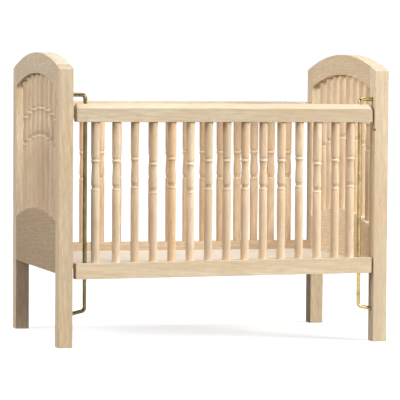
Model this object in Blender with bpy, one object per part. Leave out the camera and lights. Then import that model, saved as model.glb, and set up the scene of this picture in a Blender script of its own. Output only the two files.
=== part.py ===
"""Baby crib with a sliding front side, in metres, +Z up, standing on Z = 0.

X runs along the crib's length and Y across it. The front, at -Y, is the side that slides down on two
bent brass rods. The ends, at -X and +X, each have two posts, an arched head rail and an arched lower panel,
with turned spindles between them. Pieces that touch keep a small gap, and are joined by tenons and blind
holes. The crib is made by hand: some spindles and beads sit a little unevenly.
"""

import math

import bmesh
import bpy
from mathutils import Matrix, Vector

# The whole crib
LENGTH = 1.070
WIDTH = 0.700
CORNER_HEIGHT = 0.862
CROWN_HEIGHT = 0.914
POST_LONG = 0.045
POST_WIDE = 0.050
GAP = 0.0003

# End panels
HEAD_LOW = 0.804
HEAD_HIGH = 0.848
PANEL_BOTTOM = 0.2285
PANEL_LOW = 0.3735
PANEL_HIGH = 0.4155
RIGHT_PANEL_DROP = 0.009
PANEL_RECESS = 0.0005
ARCH_STEPS = 20
POST_TOP_STEPS = 4
END_SPINDLES = 8

# Rails of the two long sides
RAIL_THICK = 0.040
RAIL_RECESS = 0.004
TOP_RAIL_BOTTOM = 0.698
TOP_RAIL_TOP = 0.7555
TOP_RAIL_CHAMFER = 0.0145
TOP_RAIL_LOWER_CHAMFER = 0.010
DROP_RAIL_BOTTOM = 0.2155
DROP_RAIL_TOP = 0.2655
DROP_RAIL_SLOPE = 0.008
REAR_RAIL_BOTTOM = 0.238
REAR_RAIL_TOP = 0.283
DROP_END_GAP = 0.008
DROP_RAIL_OFFSET = 0.0025
SIDE_SPINDLES = 15
SIDE_PITCH = 0.0595
DROP_ROW_OFFSET = 0.009
REAR_ROW_OFFSET = -0.004

# Mattress base
BASE_BOTTOM = 0.2425
BASE_TOP = 0.2555
BASE_TONGUE = 0.008

# Tenons and blind holes
TENON = 0.014
TENON_THICK = 0.014
TENON_SHOULDER = 0.012
REAR_RAIL_TENON = 0.021
SOCKET = 0.015
SOCKET_SPARE = 0.001
SOCKET_CLEARANCE = 0.0004

# Turned spindles: heights are measured from the lower bead
BEAD_SPACING = 0.089
DROP_BEAD = 0.488
REAR_BEAD = 0.494
END_BEAD_ABOVE_PANEL = 0.231
END_BEAD_SAG = 0.015
SHAFT_TOP_RADIUS = 0.0136
SHAFT_FOOT_RADIUS = 0.0130
SPINDLE_SIDES = 8
SHARP_EDGE = math.radians(40)

# Handwork: the sliding side's end spindles stand off their even places, and some of its beads sit high or low
DROP_SHIFTS = {1: -0.007, 15: -0.009}
DROP_BEAD_LIFTS = {3: 0.006, 4: -0.010, 5: 0.006, 6: -0.010, 12: 0.006, 13: -0.010, 15: 0.006}

# Brass guide rods: the left one was bent a little higher than the right one
ROD_RADIUS = 0.0062
ROD_HOLE_RADIUS = 0.0070
ROD_INSET = 0.0425
ROD_TOPS = {-1: 0.782, 1: 0.772}
ROD_BOTTOM = 0.114
ROD_BEND = 0.012
ROD_LEG_SLOPE = math.radians(13)
ROD_IN_POST = 0.012
ROD_HOLE_OVERRUN = 0.010
ROD_BEND_STEPS = 4

# Worked out from the above
INNER_X = LENGTH / 2 - POST_LONG
INNER_Y = WIDTH / 2 - POST_WIDE
POST_X = (LENGTH - POST_LONG) / 2
POST_Y = (WIDTH - POST_WIDE) / 2
RAIL_OUTER = WIDTH / 2 - RAIL_RECESS
RAIL_INNER = RAIL_OUTER - RAIL_THICK
RAIL_Y = (RAIL_OUTER + RAIL_INNER) / 2
ROD_X = INNER_X - ROD_INSET
END_PITCH = 2 * INNER_Y / (END_SPINDLES + 1)

PALE_WOOD = (0.78, 0.62, 0.42)
TURNED_WOOD = (0.80, 0.65, 0.45)
BOARD_WOOD = (0.84, 0.72, 0.54)
BRASS = (0.72, 0.55, 0.22)


def clear_scene():
    for obj in list(bpy.data.objects):
        bpy.data.objects.remove(obj, do_unlink=True)


def finish_for(name, colour, roughness, metallic=0.0):
    """A plain Principled material, one for each piece."""
    material = bpy.data.materials.new(name)
    material.use_nodes = True
    shader = material.node_tree.nodes["Principled BSDF"]
    shader.inputs["Base Color"].default_value = (*colour, 1.0)
    shader.inputs["Roughness"].default_value = roughness
    shader.inputs["Metallic"].default_value = metallic
    return material


def add_object(name, data, location, parent=None):
    """Links an object at a world location, under a parent if it has one."""
    obj = bpy.data.objects.new(name, data)
    bpy.context.scene.collection.objects.link(obj)
    obj.location = Vector(location) - (parent.location if parent else Vector())
    obj.parent = parent
    return obj


def mesh_of(bm, name, origin):
    """The bmesh, built in world space, as a mesh about its own origin."""
    bmesh.ops.recalc_face_normals(bm, faces=bm.faces)
    bm.transform(Matrix.Translation(-Vector(origin)))
    mesh = bpy.data.meshes.new(name)
    bm.to_mesh(mesh)
    bm.free()
    return mesh


def wooden(name, bm, origin, parent=None, colour=PALE_WOOD):
    obj = add_object(name, mesh_of(bm, name, origin), origin, parent)
    obj.data.materials.append(finish_for(name, colour, 0.62))
    return obj


def bar(outline, x_low, x_high):
    """A bar along X with a closed outline of (y, z) points."""
    bm = bmesh.new()
    face = bm.faces.new([bm.verts.new((x_low, y, z)) for y, z in outline])
    grown = bmesh.ops.extrude_face_region(bm, geom=[face])
    moved = [item for item in grown["geom"] if isinstance(item, bmesh.types.BMVert)]
    bmesh.ops.translate(bm, verts=moved, vec=(x_high - x_low, 0, 0))
    return bm


def block(low, high):
    """A rectangular block between two corners."""
    outline = [(low[1], low[2]), (high[1], low[2]), (high[1], high[2]), (low[1], high[2])]
    return bar(outline, low[0], high[0])


def add_peg(bm, start, end, radius, sides=SPINDLE_SIDES):
    """A round peg between two points."""
    start, end = Vector(start), Vector(end)
    run = end - start
    turn = run.to_track_quat("Z", "Y").to_matrix().to_4x4()
    bmesh.ops.create_cone(
        bm, cap_ends=True, segments=sides, radius1=radius, radius2=radius, depth=run.length,
        matrix=Matrix.Translation((start + end) / 2) @ turn,
    )


def helper(name, bm):
    """A cutter or an added tenon, which takes part only through a Boolean."""
    obj = add_object(name, mesh_of(bm, name, (0, 0, 0)), (0, 0, 0))
    obj.hide_render = True
    obj.display_type = "WIRE"
    return obj


def combine(target, operation, name, bm):
    modifier = target.modifiers.new(name, "BOOLEAN")
    modifier.operation = operation
    modifier.object = helper(f"{target.name}_{name}", bm)


def grown_block(low, high, by):
    return block([value - by for value in low], [value + by for value in high])


def arch(y, half_chord, low, high):
    """Height at y of the circular arch that rises from low at the half chord to high in the middle."""
    rise = high - low
    radius = (half_chord**2 + rise**2) / (2 * rise)
    return high - radius + math.sqrt(radius**2 - y**2)


def crown(y):
    return arch(y, WIDTH / 2, CORNER_HEIGHT, CROWN_HEIGHT)


def head_opening(y):
    return arch(y, INNER_Y, HEAD_LOW, HEAD_HIGH)


def panel_levels(x_side):
    """Heights of a lower panel's top edge at the posts and in the middle. The right panel is lower."""
    drop = RIGHT_PANEL_DROP if x_side > 0 else 0
    return PANEL_LOW - drop, PANEL_HIGH - drop


def panel_top(x_side):
    """The curve of a lower panel's top edge."""
    return lambda y: arch(y, INNER_Y, *panel_levels(x_side))


def along(curve, y_from, y_to, steps):
    """Points (y, z) on a curve, in equal steps of y."""
    ys = [y_from + (y_to - y_from) * i / steps for i in range(steps + 1)]
    return [(y, curve(y)) for y in ys]


def end_tenon(x, side, low, high):
    """Corners of the tenon with which a head rail or lower panel enters the post at y on that side."""
    half = TENON_THICK / 2
    near, far = sorted((side * (INNER_Y - SOCKET_SPARE), side * (INNER_Y + TENON)))
    return (x - half, near, low + TENON_SHOULDER), (x + half, far, high - TENON_SHOULDER)


def rail_tenon(side, low, high):
    """Corners of the tenon with which a rear rail enters the post at that end."""
    half = TENON_THICK / 2
    near, far = sorted((side * (INNER_X - SOCKET_SPARE), side * (INNER_X + TENON)))
    return (near, RAIL_Y - half, low), (far, RAIL_Y + half, high)


def rear_tenons(side):
    """Both tenons of the rear side at one end: the top rail's, below its chamfer, and the bottom rail's."""
    top = rail_tenon(side, TOP_RAIL_BOTTOM + TENON_SHOULDER, TOP_RAIL_TOP - TOP_RAIL_CHAMFER)
    low = BASE_BOTTOM + GAP
    bottom = rail_tenon(side, low, low + REAR_RAIL_TENON)
    return top, bottom


def base_tongue():
    """Corners of the base's tongue, which runs from one lower panel's groove to the other's."""
    x = INNER_X + BASE_TONGUE
    y = INNER_Y - TENON_SHOULDER
    return (-x, -y, BASE_BOTTOM), (x, y, BASE_TOP)


def rod_leg(side, height, slope):
    """Start and end of a rod's leg inside the post, where it points outwards and down by the slope."""
    start = Vector((side * INNER_X, -RAIL_Y, height - ROD_INSET * math.tan(slope)))
    run = Vector((side * math.cos(slope), 0, -math.sin(slope)))
    return start, run


def rod_legs(side):
    return rod_leg(side, ROD_TOPS[side], 0), rod_leg(side, ROD_BOTTOM, ROD_LEG_SLOPE)


def make_post(name, x_side, y_side):
    x, y = x_side * POST_X, y_side * POST_Y
    outer, inner = y_side * WIDTH / 2, y_side * INNER_Y
    outline = [(inner, 0), (outer, 0)] + along(crown, outer, inner, POST_TOP_STEPS)
    post = wooden(name, bar(outline, x - POST_LONG / 2, x + POST_LONG / 2), (x, y, 0))
    crown_at_post = crown(INNER_Y)
    panel_high = panel_levels(x_side)[0]
    for label, low, high in (("head", HEAD_LOW, crown_at_post), ("panel", PANEL_BOTTOM, panel_high)):
        mortise = grown_block(*end_tenon(x, y_side, low, high), GAP)
        combine(post, "DIFFERENCE", f"{label}_mortise", mortise)
    if y_side > 0:
        for label, corners in zip(("top_rail", "bottom_rail"), rear_tenons(x_side)):
            combine(post, "DIFFERENCE", f"{label}_mortise", grown_block(*corners, GAP))
        return
    holes = bmesh.new()
    for start, run in rod_legs(x_side):
        depth = ROD_IN_POST + SOCKET_SPARE
        add_peg(holes, start - run * depth, start + run * depth, ROD_HOLE_RADIUS)
    combine(post, "DIFFERENCE", "rod_holes", holes)


def add_tenons(obj, x, low, high):
    for label, side in (("front", -1), ("rear", 1)):
        combine(obj, "UNION", f"{label}_tenon", block(*end_tenon(x, side, low, high)))


def end_spindle_ys():
    middle = (END_SPINDLES - 1) / 2
    return [(i - middle) * END_PITCH for i in range(END_SPINDLES)]


def make_head_rail(name, x_side):
    x = x_side * POST_X
    half = POST_LONG / 2 - PANEL_RECESS
    end = INNER_Y - GAP
    outline = along(crown, -end, end, ARCH_STEPS) + along(head_opening, end, -end, ARCH_STEPS)
    rail = wooden(name, bar(outline, x - half, x + half), (x, 0, HEAD_HIGH))
    add_tenons(rail, x, HEAD_LOW, crown(INNER_Y))
    sockets = bmesh.new()
    for y in end_spindle_ys():
        z = head_opening(y)
        radius = SHAFT_TOP_RADIUS + SOCKET_CLEARANCE
        add_peg(sockets, (x, y, z - SOCKET), (x, y, z + SOCKET + SOCKET_SPARE), radius)
    combine(rail, "DIFFERENCE", "sockets", sockets)


def make_lower_panel(name, x_side):
    x = x_side * POST_X
    half = POST_LONG / 2 - PANEL_RECESS
    end = INNER_Y - GAP
    top = panel_top(x_side)
    outline = [(end, PANEL_BOTTOM), (-end, PANEL_BOTTOM)] + along(top, -end, end, ARCH_STEPS)
    panel = wooden(name, bar(outline, x - half, x + half), (x, 0, PANEL_BOTTOM))
    add_tenons(panel, x, PANEL_BOTTOM, panel_levels(x_side)[0])
    sockets = bmesh.new()
    for y in end_spindle_ys():
        z = top(y)
        radius = SHAFT_FOOT_RADIUS + SOCKET_CLEARANCE
        add_peg(sockets, (x, y, z - SOCKET - SOCKET_SPARE), (x, y, z + SOCKET), radius)
    combine(panel, "DIFFERENCE", "sockets", sockets)
    combine(panel, "DIFFERENCE", "base_groove", grown_block(*base_tongue(), GAP))


def spindle_profile(foot, head):
    """(height, radius) points from foot to head, measured from the lower bead, which is at 0.

    The upper bead is the widest place.
    """
    upper = BEAD_SPACING
    return (
        (-foot, SHAFT_FOOT_RADIUS),
        (-0.100, 0.0133),
        (-0.004, 0.0135),
        (0.000, 0.0137),
        (0.008, 0.0110),
        (0.018, 0.0134),
        (0.032, 0.0131),
        (upper - 0.012, 0.0108),
        (upper - 0.004, 0.0130),
        (upper, 0.0139),
        (upper + 0.008, 0.0122),
        (upper + 0.018, SHAFT_TOP_RADIUS),
        (head, SHAFT_TOP_RADIUS),
    )


def turned_mesh(name, profile):
    """A solid of revolution about Z."""
    bm = bmesh.new()
    rim = [(radius, z) for z, radius in profile]
    points = [(0, rim[0][1])] + rim + [(0, rim[-1][1])]
    verts = [bm.verts.new((radius, 0, z)) for radius, z in points]
    edges = [bm.edges.new(pair) for pair in zip(verts, verts[1:])]
    bmesh.ops.spin(
        bm, geom=verts + edges, cent=(0, 0, 0), axis=(0, 0, 1), angle=math.tau,
        steps=SPINDLE_SIDES, use_merge=True,
    )
    bmesh.ops.remove_doubles(bm, verts=bm.verts, dist=1e-6)
    mesh = mesh_of(bm, name, (0, 0, 0))
    mesh.shade_smooth()
    mesh.set_sharp_from_angle(angle=SHARP_EDGE)
    return mesh


def make_spindle(name, x, y, foot, bead, head, parent=None):
    """A spindle from foot to head, with its lower bead at the height bead. Its origin is at that bead."""
    mesh = turned_mesh(name, spindle_profile(bead - foot, head - bead))
    spindle = add_object(name, mesh, (x, y, bead), parent)
    spindle.data.materials.append(finish_for(name, TURNED_WOOD, 0.58))


def make_end_spindles(label, x_side):
    for number, y in enumerate(end_spindle_ys(), start=1):
        panel = panel_top(x_side)(y)
        bead = panel + END_BEAD_ABOVE_PANEL - END_BEAD_SAG * (y / INNER_Y) ** 2
        foot, head = panel - SOCKET, head_opening(y) + SOCKET
        make_spindle(f"end_spindle_{label}_{number}", x_side * POST_X, y, foot, bead, head)


def side_spindle_xs(offset, shifts):
    """Places along X of a row's spindles: even ones, moved by the shifts of some numbers from the left."""
    middle = (SIDE_SPINDLES + 1) / 2
    numbers = range(1, SIDE_SPINDLES + 1)
    return [(number - middle) * SIDE_PITCH + offset + shifts.get(number, 0) for number in numbers]


def make_side_spindles(label, xs, y, rail_top, bead, lifts, parent=None):
    head = TOP_RAIL_BOTTOM + SOCKET
    for number, x in enumerate(xs, start=1):
        foot = rail_top(x) - SOCKET
        height = bead + lifts.get(number, 0)
        make_spindle(f"{label}_spindle_{number:02d}", x, y, foot, height, head, parent)


def side_sockets(xs, y, surface, depth, radius):
    """Blind holes for a row of side spindles, from a rail's surface(x) to a depth, up or down."""
    sockets = bmesh.new()
    for x in xs:
        start = surface(x) - depth
        end = surface(x) + math.copysign(abs(depth) + SOCKET_SPARE, depth)
        add_peg(sockets, (x, y, start), (x, y, end), radius + SOCKET_CLEARANCE)
    return sockets


def top_rail_bottom(x):
    return TOP_RAIL_BOTTOM


def drop_rail_top(x):
    """The sliding side's bottom rail sits slightly askew: it rises towards +X."""
    return DROP_RAIL_TOP + DROP_RAIL_SLOPE * x


def rear_rail_top(x):
    return REAR_RAIL_TOP


def top_rail_outline(y_side):
    """A handrail's section: both top edges and the lower inner edge are chamfered."""
    depth = TOP_RAIL_CHAMFER
    lower = TOP_RAIL_LOWER_CHAMFER
    section = (
        (0, TOP_RAIL_BOTTOM),
        (0, TOP_RAIL_TOP - depth),
        (depth, TOP_RAIL_TOP),
        (RAIL_THICK - depth, TOP_RAIL_TOP),
        (RAIL_THICK, TOP_RAIL_TOP - depth),
        (RAIL_THICK, TOP_RAIL_BOTTOM + lower),
        (RAIL_THICK - lower / 2, TOP_RAIL_BOTTOM),
    )
    return [(y_side * (RAIL_OUTER - inward), z) for inward, z in section]


def flat_rail_outline(y_side, low, high):
    outer, inner = y_side * RAIL_OUTER, y_side * RAIL_INNER
    return [(outer, low), (outer, high), (inner, high), (inner, low)]


def drill_for_rods(rail, low, high):
    holes = bmesh.new()
    for side in (-1, 1):
        x = side * ROD_X
        start = (x, -RAIL_Y, low - ROD_HOLE_OVERRUN)
        end = (x, -RAIL_Y, high + ROD_HOLE_OVERRUN)
        add_peg(holes, start, end, ROD_HOLE_RADIUS)
    combine(rail, "DIFFERENCE", "rod_holes", holes)


def make_drop_side():
    """The sliding front side. Its empty stands on the slide's axis, midway between the guide rods."""
    slide = add_object("drop_side_slide", None, (0, -RAIL_Y, 0))
    left = DROP_RAIL_OFFSET - INNER_X + DROP_END_GAP
    right = DROP_RAIL_OFFSET + INNER_X - DROP_END_GAP
    top_bar = bar(top_rail_outline(-1), left, right)
    bottom_bar = bar(flat_rail_outline(-1, DROP_RAIL_BOTTOM, DROP_RAIL_TOP), left, right)
    for vert in bottom_bar.verts:
        vert.co.z += DROP_RAIL_SLOPE * vert.co.x
    top = wooden("drop_top_rail", top_bar, (0, -RAIL_Y, TOP_RAIL_BOTTOM), slide)
    bottom = wooden("drop_bottom_rail", bottom_bar, (0, -RAIL_Y, DROP_RAIL_BOTTOM), slide)
    xs = side_spindle_xs(DROP_ROW_OFFSET, DROP_SHIFTS)
    upper = side_sockets(xs, -RAIL_Y, top_rail_bottom, SOCKET, SHAFT_TOP_RADIUS)
    lower = side_sockets(xs, -RAIL_Y, drop_rail_top, -SOCKET, SHAFT_FOOT_RADIUS)
    combine(top, "DIFFERENCE", "sockets", upper)
    combine(bottom, "DIFFERENCE", "sockets", lower)
    drill_for_rods(top, TOP_RAIL_BOTTOM, TOP_RAIL_TOP)
    drill_for_rods(bottom, DROP_RAIL_BOTTOM, DROP_RAIL_TOP)
    make_side_spindles("drop", xs, -RAIL_Y, drop_rail_top, DROP_BEAD, DROP_BEAD_LIFTS, slide)


def make_rear_side():
    """The fixed rear side. Its bottom rail and the mattress base are glued into one piece."""
    end = INNER_X - GAP
    top = wooden("rear_top_rail", bar(top_rail_outline(1), -end, end), (0, RAIL_Y, TOP_RAIL_BOTTOM))
    base = wooden(
        "mattress_base", bar(flat_rail_outline(1, REAR_RAIL_BOTTOM, REAR_RAIL_TOP), -end, end),
        (0, RAIL_Y, REAR_RAIL_BOTTOM), colour=BOARD_WOOD,
    )
    board = block((-end, -INNER_Y, BASE_BOTTOM), (end, RAIL_INNER + SOCKET_SPARE, BASE_TOP))
    combine(base, "UNION", "board", board)
    combine(base, "UNION", "tongue", block(*base_tongue()))
    for label, side in (("left", -1), ("right", 1)):
        for rail, corners in zip((top, base), rear_tenons(side)):
            combine(rail, "UNION", f"{label}_tenon", block(*corners))
    xs = side_spindle_xs(REAR_ROW_OFFSET, {})
    upper = side_sockets(xs, RAIL_Y, top_rail_bottom, SOCKET, SHAFT_TOP_RADIUS)
    lower = side_sockets(xs, RAIL_Y, rear_rail_top, -SOCKET, SHAFT_FOOT_RADIUS)
    combine(top, "DIFFERENCE", "sockets", upper)
    combine(base, "DIFFERENCE", "sockets", lower)
    make_side_spindles("rear", xs, RAIL_Y, rear_rail_top, REAR_BEAD, {})


def bend(corner, back, ahead):
    """Points round a bend at a corner, between the direction back and the direction ahead."""
    angle = back.angle(ahead)
    reach = ROD_BEND / math.tan(angle / 2)
    centre = corner + (back + ahead).normalized() * (ROD_BEND / math.sin(angle / 2))
    first = corner + back * reach - centre
    last = corner + ahead * reach - centre
    turns = [first.slerp(last, i / ROD_BEND_STEPS) for i in range(ROD_BEND_STEPS + 1)]
    return [centre + turn * ROD_BEND for turn in turns]


def rod_path(side):
    """The rod's centre line: out of the upper hole, down through both rails, and into the lower hole."""
    (top_start, top_run), (low_start, low_run) = rod_legs(side)
    down = Vector((0, 0, -1))
    top_corner = Vector((side * ROD_X, -RAIL_Y, ROD_TOPS[side]))
    low_corner = Vector((side * ROD_X, -RAIL_Y, ROD_BOTTOM))
    path = [top_start + top_run * ROD_IN_POST]
    path += bend(top_corner, top_run, down)
    path += bend(low_corner, -down, low_run)
    path.append(low_start + low_run * ROD_IN_POST)
    return path


def make_rod(name, side):
    curve = bpy.data.curves.new(name, "CURVE")
    curve.dimensions = "3D"
    curve.bevel_depth = ROD_RADIUS
    curve.bevel_resolution = 2
    curve.use_fill_caps = True
    curve.materials.append(finish_for(name, BRASS, 0.25, metallic=1.0))
    path = rod_path(side)
    spline = curve.splines.new("POLY")
    spline.points.add(len(path) - 1)
    origin = Vector((side * ROD_X, -RAIL_Y, 0))
    for point, place in zip(spline.points, path):
        point.co = (*(place - origin), 1.0)
    add_object(name, curve, origin)


def main():
    clear_scene()
    for x_label, x_side in (("left", -1), ("right", 1)):
        for y_label, y_side in (("front", -1), ("rear", 1)):
            make_post(f"post_{y_label}_{x_label}", x_side, y_side)
        make_head_rail(f"head_rail_{x_label}", x_side)
        make_lower_panel(f"lower_panel_{x_label}", x_side)
        make_end_spindles(x_label, x_side)
        make_rod(f"guide_rod_{x_label}", x_side)
    make_drop_side()
    make_rear_side()


main()
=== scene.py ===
import math
import random

import bmesh
import bpy
from mathutils import Matrix, Vector


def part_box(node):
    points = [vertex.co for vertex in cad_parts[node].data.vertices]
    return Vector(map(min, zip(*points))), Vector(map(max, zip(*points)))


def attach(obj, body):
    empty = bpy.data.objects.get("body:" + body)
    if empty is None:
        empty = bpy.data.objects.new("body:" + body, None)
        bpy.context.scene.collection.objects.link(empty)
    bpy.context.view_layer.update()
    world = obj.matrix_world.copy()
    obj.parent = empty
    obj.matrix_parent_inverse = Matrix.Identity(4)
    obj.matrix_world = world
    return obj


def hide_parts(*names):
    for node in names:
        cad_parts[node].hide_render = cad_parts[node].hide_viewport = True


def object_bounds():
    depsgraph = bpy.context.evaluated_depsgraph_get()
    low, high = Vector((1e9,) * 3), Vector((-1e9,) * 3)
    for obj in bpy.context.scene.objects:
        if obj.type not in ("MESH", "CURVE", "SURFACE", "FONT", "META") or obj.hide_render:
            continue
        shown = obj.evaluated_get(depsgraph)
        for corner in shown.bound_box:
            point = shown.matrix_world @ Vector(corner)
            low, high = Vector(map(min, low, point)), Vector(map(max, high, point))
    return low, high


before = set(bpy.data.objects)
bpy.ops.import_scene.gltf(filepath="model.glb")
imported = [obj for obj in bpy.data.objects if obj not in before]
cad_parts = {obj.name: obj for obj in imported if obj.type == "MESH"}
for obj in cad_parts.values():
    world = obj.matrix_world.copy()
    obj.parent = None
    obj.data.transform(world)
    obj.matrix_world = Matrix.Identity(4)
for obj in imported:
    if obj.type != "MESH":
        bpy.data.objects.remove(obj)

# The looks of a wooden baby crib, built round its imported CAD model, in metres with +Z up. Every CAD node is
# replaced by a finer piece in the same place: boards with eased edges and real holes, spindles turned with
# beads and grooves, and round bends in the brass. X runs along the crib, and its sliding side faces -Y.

CAD_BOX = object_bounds()
SIDES = ("left", "right")

# The crib's inner corners and top, from the frame
LEFT_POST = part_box("post_front_left")
INNER_X = -LEFT_POST[1].x
INNER_Y = -LEFT_POST[1].y
CROWN_HEIGHT = CAD_BOX[1].z

# Shapes that a node's box doesn't give
SEAM = 0.0003
CROWN_RISE = 0.052
OPENING_RISE = 0.044
PANEL_RISE = 0.042
ARC_STEPS = 48
POST_TOP_STEPS = 8
RAIL_CHAMFER = 0.0145
RAIL_LOWER_CHAMFER = 0.010
BASE_THICK = 0.013
BASE_OVER_RAIL_FOOT = 0.0045
RAIL_THICK = 0.040
DROP_RAIL_SLOPE = 0.008

# How far edges of boards are rounded off: long ones, those round the sliding rails' ends, and one top end
EASE_LONG = 0.0012
EASE_END = 0.0045
EASE_TOP_END = 0.0110
EASE_BOTTOM_END = 0.0020
EASE_STEPS = 3
SHARP_ANGLE = math.radians(35)

# Turned spindles. In the CAD model their upper bead is the widest place
BEAD_SPACING = 0.089
BEAD_RADIUS = 0.0139
SHAFT_TOP_RADIUS = 0.0136
SHAFT_FOOT_RADIUS = 0.0130
SOCKET_DEPTH = 0.015
SOCKET_CLEARANCE = 0.0004
SPINDLE_SIDES = 28
SPINDLE_SHARP_ANGLE = math.radians(55)
SPINDLE_SEED = 7

# Brass guide rods
ROD_RADIUS = 0.0062
ROD_HOLE_RADIUS = 0.0070
ROD_BEND = 0.012
ROD_BEND_STEPS = 10
ROD_TOPS = {-1: 0.782, 1: 0.772}
ROD_BOTTOM = 0.114
ROD_LEG_SLOPE = math.radians(13)
ROD_IN_POST = 0.012
# How light each rod's brass is drawn: the left rod darker and the right rod brighter, as painted reflection
ROD_PAINTED_REFLECTION = {"left": 0.36, "right": 0.95}
ROD_INSET = 0.0425
HOLE_SIDES = 32

# Small nail marks and a pin hole: node, place on a face, direction into the wood, radius, depth
MARKS = (
    ("post_front_left", (CAD_BOX[0].x, -0.3125, 0.7620), (1, 0, 0), 0.0038, 0.010),
    ("post_front_left", (CAD_BOX[0].x, -0.3120, 0.7525), (1, 0, 0), 0.0034, 0.010),
    ("lower_panel_left", (CAD_BOX[0].x, -0.2040, 0.3500), (1, 0, 0), 0.0022, 0.005),
    ("post_front_right", (INNER_X + 0.0010, CAD_BOX[0].y, 0.6745), (0, 1, 0), 0.0036, 0.012),
)

# How light each board is, and how far its wood is from pale to brown
POST_LOOKS = {
    "post_front_left": (0.97, 0.25),
    "post_front_right": (1.11, 0.0),
    "post_rear_left": (0.97, 0.1),
    "post_rear_right": (0.98, 0.2),
}
HEAD_RAIL_LOOKS = {"left": (0.95, 0.0), "right": (1.0, 0.2)}
# The right lower panel's high tone is partly painted light, for the brighter light inside the crib
LOWER_PANEL_LOOKS = {"left": (0.62, 0.8), "right": (1.18, 0.0)}
# The rear top rail's lower tone is painted shade
TOP_RAIL_LOOKS = {"drop_top_rail": (0.98, 0.0), "rear_top_rail": (0.86, 0.1)}
# The rear bottom rail's high tone is partly painted light, for the brighter light inside the crib
BOTTOM_RAIL_LOOKS = {"drop": (1.10, 0.0), "rear": (1.16, 0.0)}

# Rows of spindles: tone, warmth, how much lighter the row's last spindle is than its first as a share of the
# tone, which is painted light falling along the row, and the own warmth of the browner ones by their number
# in the row
SPINDLE_LOOKS = {
    "drop": (1.09, 0.1, 0.14, {3: 0.4, 5: 0.8, 9: 0.3}),
    "rear": (1.12, 0.2, 0.0, {}),
    "end_left": (0.97, 0.2, 0.0, {}),
    "end_right": (1.02, 0.2, 0.0, {}),
}
SPINDLE_TONE_SPREAD = 0.05
SPINDLE_WARMTH_SPREAD = 0.1

# Camera: it looks at the view centre from a distance, turned from +Y towards +X
VIEW_CENTRE = Vector((0.013, 0.0, 0.4381))
VIEW_DISTANCE = 8.754
VIEW_AZIMUTH = math.radians(15.58)
VIEW_DOWN = math.radians(2.753)
VIEW_ROLL = math.radians(0.37)
LENS = 242.1

# Studio: how strongly the floor shines by itself near the crib and far away, with the distances of both, and
# the sky as (height, colour), with height from -1 at the nadir to 1 at the zenith. Its dim parts are warm
FLOOR_RADIUS = 300
FLOOR_GLOW = (0.72, 1.02)
FLOOR_GLOW_REACH = (1.2, 8)
SKY_DIM = (0.095, 0.068, 0.048)
SKY_WHITE = (1.05, 1.05, 1.05)
SKY = (
    (-1.0, SKY_DIM),
    (-0.035, SKY_DIM),
    (-0.015, SKY_WHITE),
    (0.05, SKY_WHITE),
    (0.09, SKY_DIM),
    (1.0, SKY_DIM),
)

# Soft boxes: name, place, size, power, tint
LAMPS = (
    ("key", (8.5, -8.0, 4.4), 4.5, 1770, (0.98, 1.0, 0.97)),
    ("left", (-9.0, -1.6, 5.4), 5.0, 700, (0.92, 0.97, 1.0)),
    ("left_low", (-9.0, -3.5, 2.0), 4.0, 80, (1.0, 0.95, 0.90)),
    ("top", (0.3, -0.6, 6.0), 4.5, 360, (0.76, 0.85, 1.0)),
)


# ---------------------------------------------------------------- meshes


def bar(outline, x_low, x_high):
    """A bar along X with a closed outline of (y, z) points."""
    bm = bmesh.new()
    face = bm.faces.new([bm.verts.new((x_low, y, z)) for y, z in outline])
    grown = bmesh.ops.extrude_face_region(bm, geom=[face])
    moved = [item for item in grown["geom"] if isinstance(item, bmesh.types.BMVert)]
    bmesh.ops.translate(bm, verts=moved, vec=(x_high - x_low, 0, 0))
    bmesh.ops.recalc_face_normals(bm, faces=bm.faces)
    return bm


def add_peg(bm, start, end, radius, sides=HOLE_SIDES):
    """A round peg between two points."""
    start, end = Vector(start), Vector(end)
    run = end - start
    turn = run.to_track_quat("Z", "Y").to_matrix().to_4x4()
    bmesh.ops.create_cone(
        bm, cap_ends=True, segments=sides, radius1=radius, radius2=radius, depth=run.length,
        matrix=Matrix.Translation((start + end) / 2) @ turn,
    )


def object_of(name, bm):
    mesh = bpy.data.meshes.new(name)
    bm.to_mesh(mesh)
    bm.free()
    obj = bpy.data.objects.new(name, mesh)
    bpy.context.scene.collection.objects.link(obj)
    return obj


def apply_modifiers(obj):
    depsgraph = bpy.context.evaluated_depsgraph_get()
    evaluated = obj.evaluated_get(depsgraph)
    mesh = bpy.data.meshes.new_from_object(evaluated, preserve_all_data_layers=True, depsgraph=depsgraph)
    obj.modifiers.clear()
    old = obj.data
    obj.data = mesh
    bpy.data.meshes.remove(old)
    mesh.name = obj.name


def ease_edges(obj, long_edges, end_edges, top_end_edge=None):
    """Rounds off a bar's sharp edges, those round its ends by their own amount, and its right top end's."""
    top_end_edge = top_end_edge or end_edges
    widest = max(long_edges, end_edges, top_end_edge)
    bm = bmesh.new()
    bm.from_mesh(obj.data)
    xs = [vert.co.x for vert in bm.verts]
    ends = (min(xs), max(xs))
    top = max(vert.co.z for vert in bm.verts)
    weight = bm.edges.layers.float.new("bevel_weight_edge")
    for edge in bm.edges:
        if edge.calc_face_angle(0) < SHARP_ANGLE:
            continue
        first, last = edge.verts
        amount = long_edges
        if first.co.x == last.co.x and first.co.x in ends:
            amount = end_edges
            if first.co.x == ends[1] and top in (first.co.z, last.co.z):
                amount = top_end_edge
        edge[weight] = amount / widest
    bm.to_mesh(obj.data)
    bm.free()
    bevel = obj.modifiers.new("ease", "BEVEL")
    bevel.limit_method = "WEIGHT"
    bevel.width = widest
    bevel.segments = EASE_STEPS
    apply_modifiers(obj)


def drill(obj, holes):
    """Cuts round holes, each given as (start, end, radius)."""
    if not holes:
        return
    bm = bmesh.new()
    for start, end, radius in holes:
        add_peg(bm, start, end, radius)
    cutter = object_of(f"{obj.name}_cutter", bm)
    cut = obj.modifiers.new("drill", "BOOLEAN")
    cut.object = cutter
    apply_modifiers(obj)
    bpy.data.objects.remove(cutter)


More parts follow.
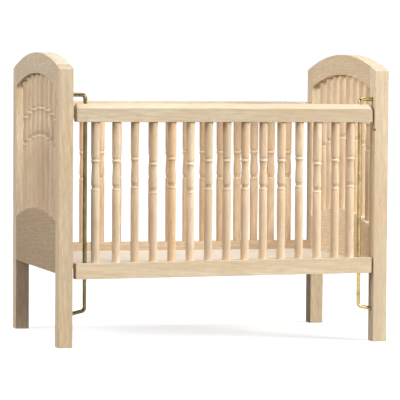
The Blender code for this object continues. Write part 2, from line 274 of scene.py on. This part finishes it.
def arch(y, half_chord, high, rise):
    """Height at y of a circular arch whose middle is at high and whose ends are lower by the rise."""
    radius = (half_chord**2 + rise**2) / (2 * rise)
    return high - radius + math.sqrt(radius**2 - y**2)


def crown(y):
    return arch(y, CAD_BOX[1].y, CROWN_HEIGHT, CROWN_RISE)


def along(curve, y_from, y_to, steps=ARC_STEPS):
    """Points (y, z) on a curve, in equal steps of y."""
    ys = [y_from + (y_to - y_from) * i / steps for i in range(steps + 1)]
    return [(y, curve(y)) for y in ys]


# ---------------------------------------------------------------- materials


class Shade:
    """A material's node tree while it is being built."""

    def __init__(self, name):
        self.material = bpy.data.materials.new(name)
        self.material.use_nodes = True
        self.tree = self.material.node_tree
        self.shader = self.tree.nodes["Principled BSDF"]

    def set(self, node, key, value):
        if isinstance(value, bpy.types.NodeSocket):
            self.tree.links.new(value, node.inputs[key])
        else:
            node.inputs[key].default_value = value

    def add(self, kind, inputs, **settings):
        node = self.tree.nodes.new(f"ShaderNode{kind}")
        for key, value in settings.items():
            setattr(node, key, value)
        for key, value in inputs.items():
            self.set(node, key, value)
        return node

    def stretched(self, grain, stretch):
        """Object coordinates, drawn out along the grain's axis."""
        scale = [1 / stretch if axis == grain else 1 for axis in "XYZ"]
        coords = self.add("TexCoord", {}).outputs["Object"]
        return self.add("Mapping", {"Vector": coords, "Scale": scale}).outputs["Vector"]

    def noise(self, vector, scale, detail=2.0, distortion=0.0):
        inputs = {"Vector": vector, "Scale": scale, "Detail": detail, "Distortion": distortion}
        return self.add("TexNoise", inputs).outputs["Fac"]

    def remap(self, value, low, high, to_low=0.0, to_high=1.0):
        """A smooth step from low to high, and level outside them."""
        inputs = {"Value": value, "From Min": low, "From Max": high, "To Min": to_low, "To Max": to_high}
        return self.add("MapRange", inputs, interpolation_type="SMOOTHSTEP").outputs["Result"]

    def math(self, operation, first, second):
        return self.add("Math", {0: first, 1: second}, operation=operation).outputs["Value"]

    def mix(self, factor, first, second, blend="MIX"):
        node = self.add("Mix", {0: factor, 6: first, 7: second}, data_type="RGBA", blend_type=blend)
        return node.outputs[2]

    def own_value(self, name):
        """A number that each object carries."""
        return self.add("Attribute", {}, attribute_type="OBJECT", attribute_name=name).outputs["Fac"]

    def vertex_value(self, name):
        return self.add("Attribute", {}, attribute_name=name).outputs["Fac"]

    def toned(self, look):
        """A look made lighter or darker by each object's own tone."""
        tone = self.own_value("tone")
        tones = self.add("CombineColor", {"Red": tone, "Green": tone, "Blue": tone}).outputs["Color"]
        return self.mix(1.0, look, tones, "MULTIPLY")


def colour(red, green, blue):
    return (red, green, blue, 1.0)


def scaled(rgba, factor):
    return tuple(channel * factor for channel in rgba[:3]) + (1.0,)


def wood(name, grain, pale, deep, turned=False, line_scale=34, line_depth=0.30):
    """Fine sanded hardwood with growth lines, fibres, short flecks and a darker end grain.

    Grain is the axis that the fibres follow. Each object's own "tone" makes it lighter or darker, and its own
    "warmth" browner. Turned wood is darker in its grooves, as burnish and painted shade, and paler on its
    beads, as a painted highlight.
    """
    shade = Shade(name)
    long_way = shade.stretched(grain, 14)
    short_way = shade.stretched(grain, 5)

    figure = shade.noise(long_way, 11, 3, 0.4)
    lines = shade.add(
        "TexWave",
        {"Vector": long_way, "Scale": line_scale, "Distortion": 7, "Detail": 2, "Detail Scale": 1.1},
        bands_direction="DIAGONAL",
    ).outputs["Fac"]
    fibres = shade.noise(long_way, 310, 3)
    mottle = shade.noise(short_way, 120, 2)
    cells = shade.add("TexVoronoi", {"Vector": short_way, "Scale": 210}).outputs["Distance"]
    flecks = shade.remap(cells, 0.10, 0.30, 1.0, 0.0)
    sparse = shade.remap(shade.noise(short_way, 60, 1), 0.45, 0.62)
    flecks = shade.math("MULTIPLY", flecks, sparse)

    look = shade.mix(shade.remap(figure, 0.30, 0.72, 0.0, 0.80), pale, deep)
    look = shade.mix(shade.remap(lines, 0.45, 1.0, 0.0, line_depth), look, scaled(deep, 0.90))
    look = shade.mix(shade.remap(fibres, 0.35, 0.70, 0.0, 0.38), look, deep)
    look = shade.mix(shade.remap(mottle, 0.38, 0.64, 0.0, 0.45), look, scaled(deep, 0.92))
    look = shade.mix(shade.math("MULTIPLY", flecks, 0.42), look, scaled(deep, 0.60))
    blush = shade.remap(shade.noise(long_way, 38, 1), 0.42, 0.66, 0.0, 0.9)
    look = shade.mix(blush, look, BLUSH, "MULTIPLY")

    normal = shade.add("TexCoord", {}).outputs["Normal"]
    parts = shade.add("SeparateXYZ", {"Vector": normal}).outputs[grain]
    end_grain_and_groove_shade = shade.remap(shade.math("ABSOLUTE", parts, 0.0), 0.80, 0.97, 0.0, 0.42)
    if turned:
        burnish_and_painted_light = shade.vertex_value("burnish_and_painted_light")
        # Beads are made paler here: a painted highlight
        look = shade.mix(shade.math("MULTIPLY", burnish_and_painted_light, -0.26), look, PAINTED_BEAD_HIGHLIGHT)
        # Grooves are made darker here, in place of the end grain: burnish with painted shade
        end_grain_and_groove_shade = shade.math("MULTIPLY", burnish_and_painted_light, 0.38)
    look = shade.mix(end_grain_and_groove_shade, look, scaled(deep, 0.60))
    look = shade.toned(look)
    look = shade.mix(shade.own_value("warmth"), look, BROWNING, "MULTIPLY")
    shade.set(shade.shader, "Base Color", look)

    rough = shade.remap(fibres, 0.30, 0.70, 0.55, 0.70)
    shade.set(shade.shader, "Roughness", shade.math("ADD", rough, shade.math("MULTIPLY", flecks, 0.10)))
    relief = shade.math("SUBTRACT", shade.math("MULTIPLY", fibres, 0.6), flecks)
    relief = shade.math("ADD", relief, shade.math("MULTIPLY", lines, 0.25))
    bump = shade.add("Bump", {"Height": relief, "Strength": 0.5, "Distance": 0.0005})
    shade.set(shade.shader, "Normal", bump.outputs["Normal"])
    shade.set(shade.shader, "IOR", 1.45)
    shade.set(shade.shader, "Specular IOR Level", 0.2)
    return shade.material


def brass():
    """Drawn brass rod, dulled unevenly and rubbed brighter here and there."""
    shade = Shade("drawn_brass")
    drawn = shade.stretched("Z", 30)
    plain = shade.stretched("Z", 1)
    dull = shade.remap(shade.noise(plain, 24, 3, 0.5), 0.35, 0.68)
    scratches = shade.noise(drawn, 900, 2)
    spots = shade.remap(shade.noise(plain, 190, 2), 0.60, 0.72)
    bright = colour(0.54, 0.42, 0.18)
    look = shade.mix(dull, bright, colour(0.33, 0.25, 0.10))
    look = shade.mix(shade.remap(scratches, 0.40, 0.70, 0.0, 0.35), look, colour(0.25, 0.16, 0.06))
    look = shade.mix(shade.math("MULTIPLY", spots, 0.5), look, colour(0.17, 0.11, 0.05))
    look = shade.toned(look)
    shade.set(shade.shader, "Base Color", look)
    shade.set(shade.shader, "Metallic", 1.0)
    rough = shade.remap(scratches, 0.30, 0.70, 0.18, 0.30)
    shade.set(shade.shader, "Roughness", shade.math("ADD", rough, shade.math("MULTIPLY", dull, 0.10)))
    bump = shade.add("Bump", {"Height": scratches, "Strength": 0.25, "Distance": 0.0002})
    shade.set(shade.shader, "Normal", bump.outputs["Normal"])
    return shade.material


PALE = colour(0.76, 0.64, 0.47)
DEEP = colour(0.60, 0.465, 0.315)
WARM = colour(0.775, 0.632, 0.462)
WARM_DEEP = colour(0.635, 0.478, 0.325)
BOARD = colour(0.88, 0.79, 0.64)
BOARD_DEEP = colour(0.78, 0.67, 0.51)

BLUSH = colour(1.0, 0.955, 0.91)
# Colour of the painted highlight on the beads of turned wood
PAINTED_BEAD_HIGHLIGHT = colour(0.93, 0.86, 0.74)
BROWNING = colour(1.0, 0.85, 0.70)

POST_WOOD = wood("post_wood", "Z", PALE, DEEP)
PANEL_WOOD = wood("panel_wood", "Y", PALE, DEEP, line_scale=60, line_depth=0.36)
RAIL_WOOD = wood("rail_wood", "X", PALE, DEEP)
BASE_WOOD = wood("base_wood", "X", BOARD, BOARD_DEEP)
TURNED_WOOD = wood("turned_wood", "Z", WARM, WARM_DEEP, turned=True)
BRASS = brass()


# ---------------------------------------------------------------- pieces


def show(obj, body, slot, material, replaced, tone=1.0, warmth=0.0):
    """Gives a piece its material and its own look, and its place in the frame."""
    obj.data.materials.clear()
    obj.data.materials.append(material)
    obj["tone"] = tone
    obj["warmth"] = warmth
    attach(obj, body)
    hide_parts(replaced)


def row(label):
    """The names of a row's spindle nodes, in order."""
    return [node for node in sorted(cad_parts) if node.startswith(f"{label}_spindle")]


def end_row(label):
    return [node for node in sorted(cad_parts) if node.startswith(f"end_spindle_{label}")]


def sockets(nodes, end, radius):
    """Blind holes for these spindles' ends, which are their feet or their heads."""
    holes = []
    for node in nodes:
        low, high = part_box(node)
        x, y = (low.x + high.x) / 2, (low.y + high.y) / 2
        deepest, outwards = (low.z, 1) if end == "foot" else (high.z, -1)
        mouth = deepest + outwards * 2 * SOCKET_DEPTH
        holes.append((Vector((x, y, deepest)), Vector((x, y, mouth)), radius + SOCKET_CLEARANCE))
    return holes


def rod_y():
    low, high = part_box("drop_top_rail")
    return (low.y + high.y) / 2


def rod_leg(side, height, slope):
    """Start and run of a rod's leg in the post, where it points outwards and down by the slope."""
    start = Vector((side * INNER_X, rod_y(), height - ROD_INSET * math.tan(slope)))
    run = Vector((side * math.cos(slope), 0, -math.sin(slope)))
    return start, run


def rod_legs(side):
    return rod_leg(side, ROD_TOPS[side], 0), rod_leg(side, ROD_BOTTOM, ROD_LEG_SLOPE)


def post_rod_holes(side):
    depth = ROD_IN_POST + SEAM
    return [(start - run * depth, start + run * depth, ROD_HOLE_RADIUS) for start, run in rod_legs(side)]


def rail_rod_holes(node):
    low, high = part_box(node)
    past = Vector((0, 0, RAIL_THICK))
    holes = []
    for side in (-1, 1):
        x = side * (INNER_X - ROD_INSET)
        start = Vector((x, rod_y(), low.z)) - past
        end = Vector((x, rod_y(), high.z)) + past
        holes.append((start, end, ROD_HOLE_RADIUS))
    return holes


def mark_holes(node):
    holes = []
    for name, place, inward, radius, depth in MARKS:
        if name == node:
            inside = Vector(inward) * depth
            holes.append((Vector(place) - inside, Vector(place) + inside, radius))
    return holes


def make_post(name, x_side, y_side):
    low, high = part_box(name)
    outer, inner = (low.y, high.y) if y_side < 0 else (high.y, low.y)
    outline = [(inner, 0), (outer, 0)] + along(crown, outer, inner, POST_TOP_STEPS)
    post = object_of(f"{name}_wood", bar(outline, low.x, high.x))
    ease_edges(post, EASE_LONG, EASE_LONG)
    holes = mark_holes(name)
    if y_side < 0:
        holes += post_rod_holes(x_side)
    drill(post, holes)
    show(post, "frame", "post_wood", POST_WOOD, name, *POST_LOOKS[name])


def make_head_rail(label):
    node = f"head_rail_{label}"
    low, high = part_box(node)
    end = INNER_Y - SEAM

    def opening(y):
        return arch(y, INNER_Y, low.z + OPENING_RISE, OPENING_RISE)

    outline = along(crown, -end, end) + along(opening, end, -end)
    rail = object_of(f"{node}_wood", bar(outline, low.x, high.x))
    ease_edges(rail, EASE_LONG, EASE_LONG)
    drill(rail, sockets(end_row(label), "head", SHAFT_TOP_RADIUS))
    show(rail, "frame", "panel_wood", PANEL_WOOD, node, *HEAD_RAIL_LOOKS[label])


def make_lower_panel(label):
    node = f"lower_panel_{label}"
    low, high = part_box(node)
    end = INNER_Y - SEAM

    def top(y):
        return arch(y, INNER_Y, high.z, PANEL_RISE)

    outline = [(end, low.z), (-end, low.z)] + along(top, -end, end)
    panel = object_of(f"{node}_wood", bar(outline, low.x, high.x))
    ease_edges(panel, EASE_LONG, EASE_LONG)
    drill(panel, sockets(end_row(label), "foot", SHAFT_FOOT_RADIUS) + mark_holes(node))
    show(panel, "frame", "panel_wood", PANEL_WOOD, node, *LOWER_PANEL_LOOKS[label])


def top_rail_outline(y_side, low, high):
    """A handrail's section: both top edges and the lower inner edge are chamfered."""
    outer = max(abs(low.y), abs(high.y))
    depth, lower = RAIL_CHAMFER, RAIL_LOWER_CHAMFER
    section = (
        (0, low.z),
        (0, high.z - depth),
        (depth, high.z),
        (RAIL_THICK - depth, high.z),
        (RAIL_THICK, high.z - depth),
        (RAIL_THICK, low.z + lower),
        (RAIL_THICK - lower / 2, low.z),
    )
    return [(y_side * (outer - inward), z) for inward, z in section]


def make_top_rail(node, body, spindles, y_side, x_low, x_high):
    low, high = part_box(node)
    rail = object_of(f"{node}_wood", bar(top_rail_outline(y_side, low, high), x_low, x_high))
    holes = sockets(spindles, "head", SHAFT_TOP_RADIUS)
    if body == "drop_side":
        ease_edges(rail, EASE_LONG, EASE_END, EASE_TOP_END)
        holes += rail_rod_holes(node)
    else:
        ease_edges(rail, EASE_LONG, EASE_LONG)
    drill(rail, holes)
    show(rail, body, "rail_wood", RAIL_WOOD, node, *TOP_RAIL_LOOKS[node])


def make_drop_bottom_rail():
    """The sliding side's bottom rail, which sits slightly askew and rises towards +X."""
    node = "drop_bottom_rail"
    low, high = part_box(node)
    bottom = low.z - DROP_RAIL_SLOPE * low.x
    top = high.z - DROP_RAIL_SLOPE * high.x
    outline = [(low.y, bottom), (low.y, top), (high.y, top), (high.y, bottom)]
    rail = object_of(f"{node}_wood", bar(outline, low.x, high.x))
    ease_edges(rail, EASE_LONG, EASE_BOTTOM_END)
    for vert in rail.data.vertices:
        vert.co.z += DROP_RAIL_SLOPE * vert.co.x
    drill(rail, sockets(row("drop"), "foot", SHAFT_FOOT_RADIUS) + rail_rod_holes(node))
    show(rail, "drop_side", "rail_wood", RAIL_WOOD, node, *BOTTOM_RAIL_LOOKS["drop"])


def make_base():
    """The base board, and the rear bottom rail that is glued along its rear edge."""
    node = "mattress_base"
    low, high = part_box(node)
    end = INNER_X - SEAM
    rail_inner = high.y - RAIL_THICK
    section = [(rail_inner, low.z), (rail_inner, high.z), (high.y, high.z), (high.y, low.z)]
    rail = object_of("rear_bottom_rail_wood", bar(section, -end, end))
    ease_edges(rail, EASE_LONG, EASE_LONG)
    drill(rail, sockets(row("rear"), "foot", SHAFT_FOOT_RADIUS))
    show(rail, "frame", "rail_wood", RAIL_WOOD, node, *BOTTOM_RAIL_LOOKS["rear"])

    bottom = low.z + BASE_OVER_RAIL_FOOT
    front, back = -INNER_Y, rail_inner - SEAM
    section = [(front, bottom), (front, bottom + BASE_THICK), (back, bottom + BASE_THICK), (back, bottom)]
    board = object_of("mattress_base_board", bar(section, -end, end))
    ease_edges(board, EASE_LONG, EASE_LONG)
    show(board, "frame", "base_wood", BASE_WOOD, node)


def half_round(middle, half_height, core, proud, burnish_and_painted_light, steps=6):
    """Points (z, radius, burnish and painted light) of a bead that stands proud of a core."""
    turns = [math.pi * (i / steps - 0.5) for i in range(steps + 1)]
    return [(middle + half_height * math.sin(t), core + proud * math.cos(t), burnish_and_painted_light) for t in turns]


def swell(z_from, z_to, radius_from, radius_to, steps=8):
    """Points of a smooth run from one radius to another, level at both its ends."""
    points = []
    for i in range(1, steps):
        share = i / steps
        ease = (1 - math.cos(math.pi * share)) / 2
        points.append((z_from + (z_to - z_from) * share, radius_from + (radius_to - radius_from) * ease, 0.0))
    return points


def spindle_profile(foot, head):
    """(z, radius, burnish) from foot to head, with z from the lower bead.

    Its third value is 1 in the grooves, for burnish and painted shade, and -1 on the beads, for a painted
    highlight.
    """
    upper = BEAD_SPACING
    return (
        [(-foot, SHAFT_FOOT_RADIUS, 0.0)]
        + swell(-foot, -0.0600, SHAFT_FOOT_RADIUS, 0.0135, 12)
        + [(-0.0600, 0.0135, 0.0), (-0.0055, 0.0134, 0.0), (-0.0040, 0.0129, 0.7)]
        + half_round(0.0, 0.0030, 0.0128, 0.0010, -1.0)
        + [(0.0036, 0.0120, 0.7), (0.0050, 0.0112, 1.0), (0.0080, 0.0109, 0.7)]
        + swell(0.0080, 0.0180, 0.0109, 0.0134, 6)
        + [(0.0180, 0.0134, 0.0)]
        + swell(0.0180, 0.0320, 0.0134, 0.0130, 4)
        + [(0.0320, 0.0130, 0.0)]
        + swell(0.0320, upper - 0.0140, 0.0130, 0.0110, 12)
        + [(upper - 0.0140, 0.0110, 0.1)]
        + swell(upper - 0.0140, upper - 0.0045, 0.0110, 0.0118, 4)
        + [(upper - 0.0045, 0.0118, 1.0)]
        + half_round(upper, 0.0038, 0.0124, BEAD_RADIUS - 0.0124, -1.0)
        + [(upper + 0.0048, 0.0119, 1.0), (upper + 0.0068, 0.0120, 0.7)]
        + swell(upper + 0.0068, upper + 0.0130, 0.0120, 0.0134, 5)
        + [(upper + 0.0130, 0.0134, 0.0)]
        + swell(upper + 0.0130, upper + 0.0450, 0.0134, SHAFT_TOP_RADIUS)
        + [(upper + 0.0450, SHAFT_TOP_RADIUS, 0.0), (head, SHAFT_TOP_RADIUS, 0.0)]
    )


def lathe(name, profile, x, y, bead_z, thickness, turn):
    """A turned solid about a vertical axis, with the profile's burnish, painted shade and painted highlight
    on its vertices.
    """
    bm = bmesh.new()
    burnish_and_painted_light = bm.verts.layers.float.new("burnish_and_painted_light")
    rings = []
    for z, radius, burnish_and_light_value in profile:
        ring = []
        for i in range(SPINDLE_SIDES):
            angle = turn + math.tau * i / SPINDLE_SIDES
            reach = radius * thickness
            vert = bm.verts.new((x + reach * math.cos(angle), y + reach * math.sin(angle), bead_z + z))
            vert[burnish_and_painted_light] = burnish_and_light_value
            ring.append(vert)
        rings.append(ring)
    for lower, upper in zip(rings, rings[1:]):
        for i in range(SPINDLE_SIDES):
            j = (i + 1) % SPINDLE_SIDES
            bm.faces.new((lower[i], lower[j], upper[j], upper[i]))
    bm.faces.new(rings[0][::-1])
    bm.faces.new(rings[-1])
    obj = object_of(name, bm)
    obj.data.shade_smooth()
    obj.data.set_sharp_from_angle(angle=SPINDLE_SHARP_ANGLE)
    return obj


def upper_bead(node):
    """The height of a spindle's upper bead, where its CAD node is widest."""
    low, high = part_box(node)
    axis_x = (low.x + high.x) / 2
    axis_y = (low.y + high.y) / 2
    places = [vert.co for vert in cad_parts[node].data.vertices]
    return max(places, key=lambda place: math.hypot(place.x - axis_x, place.y - axis_y)).z


def make_spindle(node, body, rng, tone, warmth):
    """One spindle in the place of its node."""
    low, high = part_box(node)
    x, y = (low.x + high.x) / 2, (low.y + high.y) / 2
    bead_z = upper_bead(node) - BEAD_SPACING
    profile = spindle_profile(bead_z - low.z, high.z - bead_z)
    thickness = 1 + rng.uniform(-0.03, 0.015)
    turn = rng.uniform(0, math.tau)
    spindle = lathe(f"{node}_turning", profile, x, y, bead_z, thickness, turn)
    show(spindle, body, "turned_wood", TURNED_WOOD, node, tone, warmth)


def make_spindle_row(nodes, body, rng, look):
    """A row of spindles, whose tones differ a little at random round the row's own look, and grow lighter
    along the row by its share of painted light.
    """
    tone, warmth, painted_light_along_row, browner = look
    for number, node in enumerate(nodes, start=1):
        along_row = (number - 1) / (len(nodes) - 1) - 0.5
        spread = rng.uniform(-SPINDLE_TONE_SPREAD, SPINDLE_TONE_SPREAD)
        # Painted light: the row's spindles grow lighter towards its last one; the spread is the wood's own
        own_tone = tone * (1 + painted_light_along_row * along_row + spread)
        own_warmth = browner.get(number, warmth + rng.uniform(-SPINDLE_WARMTH_SPREAD, SPINDLE_WARMTH_SPREAD))
        make_spindle(node, body, rng, own_tone, own_warmth)


def make_spindles():
    rng = random.Random(SPINDLE_SEED)
    make_spindle_row(row("drop"), "drop_side", rng, SPINDLE_LOOKS["drop"])
    make_spindle_row(row("rear"), "frame", rng, SPINDLE_LOOKS["rear"])
    for label in SIDES:
        make_spindle_row(end_row(label), "frame", rng, SPINDLE_LOOKS[f"end_{label}"])


def bend(corner, back, ahead):
    """Points round a bend at a corner, between the direction back and the direction ahead."""
    angle = back.angle(ahead)
    reach = ROD_BEND / math.tan(angle / 2)
    centre = corner + (back + ahead).normalized() * (ROD_BEND / math.sin(angle / 2))
    first = corner + back * reach - centre
    last = corner + ahead * reach - centre
    turns = [first.slerp(last, i / ROD_BEND_STEPS) for i in range(ROD_BEND_STEPS + 1)]
    return [centre + turn * ROD_BEND for turn in turns]


def make_rod(label, side):
    """A guide rod: out of its upper hole, down through both rails, and into its lower hole."""
    (top_start, top_run), (low_start, low_run) = rod_legs(side)
    down = Vector((0, 0, -1))
    x = side * (INNER_X - ROD_INSET)
    path = [top_start + top_run * ROD_IN_POST]
    path += bend(Vector((x, rod_y(), ROD_TOPS[side])), top_run, down)
    path += bend(Vector((x, rod_y(), ROD_BOTTOM)), -down, low_run)
    path.append(low_start + low_run * ROD_IN_POST)
    node = f"guide_rod_{label}"
    curve = bpy.data.curves.new(f"{node}_brass", "CURVE")
    curve.dimensions = "3D"
    curve.bevel_depth = ROD_RADIUS
    curve.bevel_resolution = 6
    curve.use_fill_caps = True
    spline = curve.splines.new("POLY")
    spline.points.add(len(path) - 1)
    for point, place in zip(spline.points, path):
        point.co = (*place, 1.0)
    spline.use_smooth = True
    rod = bpy.data.objects.new(f"{node}_brass", curve)
    bpy.context.scene.collection.objects.link(rod)
    # The rod's tone here is painted reflection
    show(rod, "frame", "brass_rod", BRASS, node, ROD_PAINTED_REFLECTION[label])


def make_crib():
    for label, x_side in zip(SIDES, (-1, 1)):
        for depth, y_side in (("front", -1), ("rear", 1)):
            make_post(f"post_{depth}_{label}", x_side, y_side)
        make_head_rail(label)
        make_lower_panel(label)
        make_rod(label, x_side)
    low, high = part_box("drop_top_rail")
    make_top_rail("drop_top_rail", "drop_side", row("drop"), -1, low.x, high.x)
    make_top_rail("rear_top_rail", "frame", row("rear"), 1, SEAM - INNER_X, INNER_X - SEAM)
    make_drop_bottom_rail()
    make_base()
    make_spindles()


# ---------------------------------------------------------------- stage, light and camera


def make_floor():
    """A pale floor that shines a little by itself, like a lit table, so that shadows on it stay faint."""
    bm = bmesh.new()
    bmesh.ops.create_circle(bm, cap_ends=True, segments=64, radius=FLOOR_RADIUS)
    floor = object_of("floor", bm)
    shade = Shade("pale_floor")
    coords = shade.add("TexCoord", {}).outputs["Object"]
    grain = shade.remap(shade.noise(coords, 3, 3), 0.3, 0.7)
    look = shade.mix(grain, colour(0.60, 0.60, 0.60), colour(0.62, 0.62, 0.62))
    shade.set(shade.shader, "Base Color", look)
    shade.set(shade.shader, "Roughness", 0.9)
    shade.set(shade.shader, "Emission Color", colour(1, 1, 1))
    away = shade.add("VectorMath", {0: coords}, operation="LENGTH").outputs["Value"]
    shade.set(shade.shader, "Emission Strength", shade.remap(away, *FLOOR_GLOW_REACH, *FLOOR_GLOW))
    floor.data.materials.append(shade.material)
    floor.visible_diffuse = False


def make_world():
    """Soft studio surroundings: white round the horizon, dimmer above, and dim where the floor lies."""
    world = bpy.data.worlds.new("studio")
    bpy.context.scene.world = world
    world.use_nodes = True
    nodes, links = world.node_tree.nodes, world.node_tree.links
    direction = nodes.new("ShaderNodeTexCoord")
    height = nodes.new("ShaderNodeSeparateXYZ")
    ramp = nodes.new("ShaderNodeValToRGB")
    links.new(direction.outputs["Generated"], height.inputs["Vector"])
    lift = nodes.new("ShaderNodeMapRange")
    lift.inputs["From Min"].default_value = -1
    links.new(height.outputs["Z"], lift.inputs["Value"])
    links.new(lift.outputs["Result"], ramp.inputs["Fac"])
    links.new(ramp.outputs["Color"], nodes["Background"].inputs["Color"])
    stops = ramp.color_ramp.elements
    while len(stops) > 1:
        stops.remove(stops[-1])
    for number, (height, light) in enumerate(SKY):
        stop = stops[0] if number == 0 else stops.new((height + 1) / 2)
        stop.position = (height + 1) / 2
        stop.color = colour(*light)


def add_lamp(name, place, size, power, tint):
    """A square soft box at a place, facing the crib."""
    data = bpy.data.lights.new(name, "AREA")
    data.size = size
    data.energy = power
    data.color = tint
    lamp = bpy.data.objects.new(name, data)
    bpy.context.scene.collection.objects.link(lamp)
    lamp.location = place
    middle = (CAD_BOX[0] + CAD_BOX[1]) / 2
    lamp.rotation_euler = (middle - Vector(place)).to_track_quat("-Z", "Y").to_euler()
    lamp.visible_camera = False


def make_camera():
    data = bpy.data.cameras.new("camera")
    data.lens = LENS
    data.clip_end = 500
    camera = bpy.data.objects.new("camera", data)
    bpy.context.scene.collection.objects.link(camera)
    ahead = Vector((
        math.sin(VIEW_AZIMUTH) * math.cos(VIEW_DOWN),
        math.cos(VIEW_AZIMUTH) * math.cos(VIEW_DOWN),
        -math.sin(VIEW_DOWN),
    ))
    upright = ahead.to_track_quat("-Z", "Y").to_matrix()
    camera.matrix_world = (
        Matrix.Translation(VIEW_CENTRE - ahead * VIEW_DISTANCE)
        @ (upright @ Matrix.Rotation(VIEW_ROLL, 3, "Z")).to_4x4()
    )
    bpy.context.scene.camera = camera


make_camera()
make_crib()
make_floor()
make_world()
for lamp in LAMPS:
    add_lamp(*lamp)
bpy.context.scene.view_settings.view_transform = "Standard"
